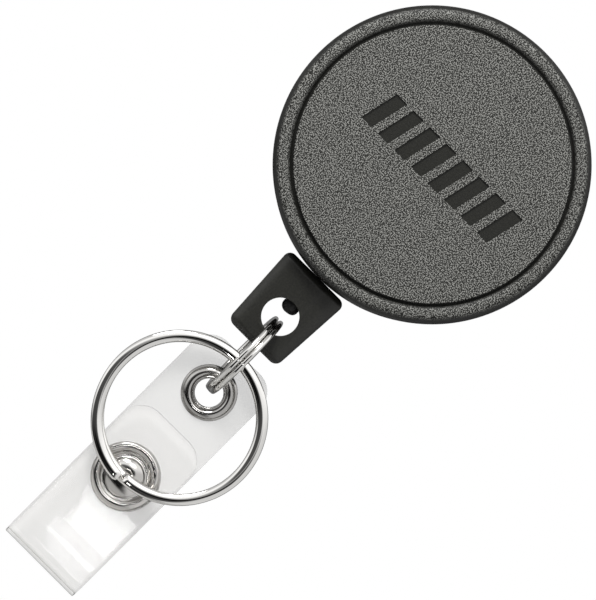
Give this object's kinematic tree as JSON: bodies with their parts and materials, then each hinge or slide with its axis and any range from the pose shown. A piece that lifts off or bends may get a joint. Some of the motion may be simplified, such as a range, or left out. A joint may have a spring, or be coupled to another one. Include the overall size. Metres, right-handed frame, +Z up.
{
  "type": "retractable badge reel",
  "caption": "Round spring-wound reel on a belt clip, with an end fitting, split rings and a folded clear strap that snaps round a badge slot.",
  "frame": {"origin": "centre of the clip plate's outer face, on the reel's axis, where a belt lies against it", "axes": "+Y out of the back along the reel's axis, +Z up, away from the strap that hangs below the case"},
  "size_m": [0.0508, 0.0248, 0.1151],
  "materials": {
    "case_plastic": "fine leather grain",
    "fitting_plastic": "satin",
    "spool_plastic": "moulded",
    "cord_nylon": "braided",
    "clip_steel": "spring steel",
    "nickel_plate": "bright nickel",
    "clear_vinyl": "clear and soft"
  },
  "bodies": {
    "case": {"front_cover": "case_plastic", "back_shell": "case_plastic", "center_post": "clip_steel", "thrust_washer": "spool_plastic", "exit_bushing": "fitting_plastic", "cord_run": "cord_nylon", "clip_plate": "clip_steel", "clip_rivet_upper": "clip_steel", "clip_rivet_lower": "clip_steel"},
    "spool": {"spool": "spool_plastic", "spool_lid": "spool_plastic", "power_spring": "clip_steel", "cord_winding": "cord_nylon"},
    "fitting": {"end_fitting": "fitting_plastic", "cord_knot": "cord_nylon", "cord_lead": "cord_nylon"},
    "link": {"link_ring": "nickel_plate"},
    "key_ring": {"key_ring": "nickel_plate"},
    "strap": {"strap_back": "clear_vinyl", "strap_fold": "clear_vinyl", "grommet_eyelet": "nickel_plate", "grommet_washer": "nickel_plate", "snap_stud": "nickel_plate", "snap_eyelet": "nickel_plate"},
    "flap": {"strap_flap": "clear_vinyl", "snap_cap": "nickel_plate", "snap_socket": "nickel_plate"},
    "clip": {"clip_tongue": "clip_steel"}
  },
  "joints": [
    {"name": "cord_pull", "type": "slide", "parent": "case", "child": "fitting", "axis": [0, 0, -1], "range_m": [0, 0.9], "stiffness_N_per_m": 0.8, "springref_m": -2.75, "deforming": ["cord_lead"]},
    {"name": "spool_spin", "type": "hinge", "parent": "case", "child": "spool", "pos_m": [0, -0.00855, 0], "axis": [0, 1, 0], "continuous": true},
    {"name": "link_roll", "type": "hinge", "parent": "fitting", "child": "link", "pos_m": [0.00025, -0.00855, -0.0427], "axis": [0.9986, 0.0523, 0], "range_deg": [-25, 25]},
    {"name": "key_ring_swing", "type": "hinge", "parent": "link", "child": "key_ring", "pos_m": [0.00012, -0.01145, -0.0439], "axis": [-1, 0, 0], "range_deg": [0, 130]},
    {"name": "strap_swing", "type": "hinge", "parent": "link", "child": "strap", "pos_m": [0.00025, -0.00855, -0.05005], "axis": [0, 1, 0], "range_deg": [-35, 35]},
    {"name": "flap_open", "type": "hinge", "parent": "strap", "child": "flap", "pos_m": [0.00055, -0.00975, -0.0882], "axis": [1, 0, 0], "range_deg": [0, 65], "stiffness_Nm_per_rad": 0.002, "deforming": ["strap_fold"]},
    {"name": "clip_open", "type": "hinge", "parent": "case", "child": "clip", "pos_m": [0, -0.0005, 0.0199], "axis": [1, 0, 0], "range_deg": [0, 8], "stiffness_Nm_per_rad": 1.5, "springref_deg": -2.86}
  ],
  "couplings": [
    {"joint": "spool_spin", "follows": "cord_pull", "rad_per_m": 60.6},
    {"joint": "key_ring_swing", "follows": "flap_open", "ratio": 2}
  ]
}
